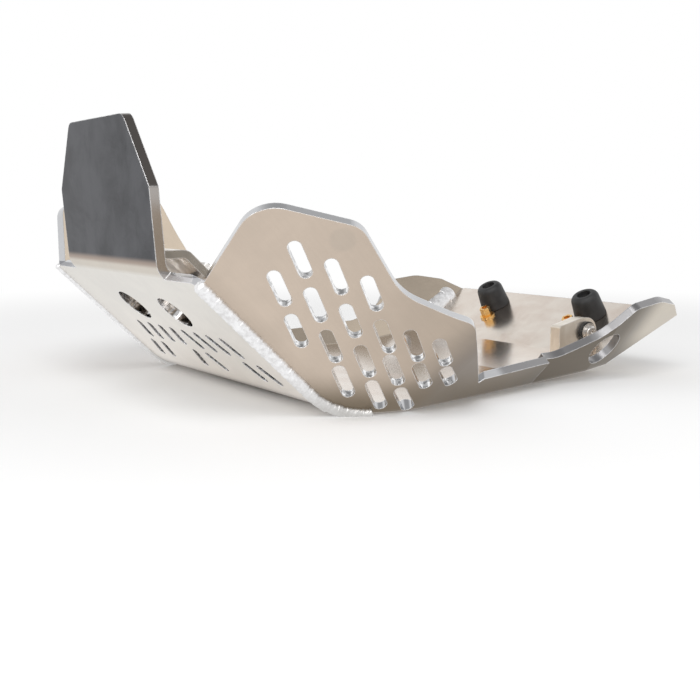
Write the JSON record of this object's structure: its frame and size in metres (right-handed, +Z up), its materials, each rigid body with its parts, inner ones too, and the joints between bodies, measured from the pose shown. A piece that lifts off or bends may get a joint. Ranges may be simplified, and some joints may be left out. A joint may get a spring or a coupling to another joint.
{
  "type": "motorcycle skid plate",
  "caption": "Folded aluminium skid plate with slotted side wings, a front mounting bridge, rubber rests and a rear tab, which guards an engine's underside.",
  "frame": {"origin": "on the middle plane, on the underside of the flat bottom, 96 mm behind the foot of the slope", "axes": "+Z up from the flat bottom, +Y to the rear of the motorcycle, +X to its left side"},
  "size_m": [0.3669, 0.4084, 0.1767],
  "materials": {
    "sheet": "satin, rolled",
    "bridge": "satin",
    "weld": "rippled weld bead",
    "steel": "zinc plated",
    "yellow_zinc": "yellow zinc plated",
    "rubber": "matt"
  },
  "bodies": {
    "root": {"bridge_welds": "weld", "bumper_left": "rubber", "bumper_right": "rubber", "bumper_screw_left": "steel", "bumper_screw_right": "steel", "front_bolts": "steel", "front_bridge": "bridge", "front_nuts": "steel", "front_washers": "steel", "rear_bolt_left": "yellow_zinc", "rear_bolt_right": "yellow_zinc", "rear_tab": "bridge", "skid_sheet": "sheet", "tab_bolt": "steel", "tab_nut": "steel", "tab_rubber_ring": "rubber", "tab_washer": "steel", "tab_weld": "weld", "weld_bead_left": "weld", "weld_bead_right": "weld"}
  },
  "joints": []
}
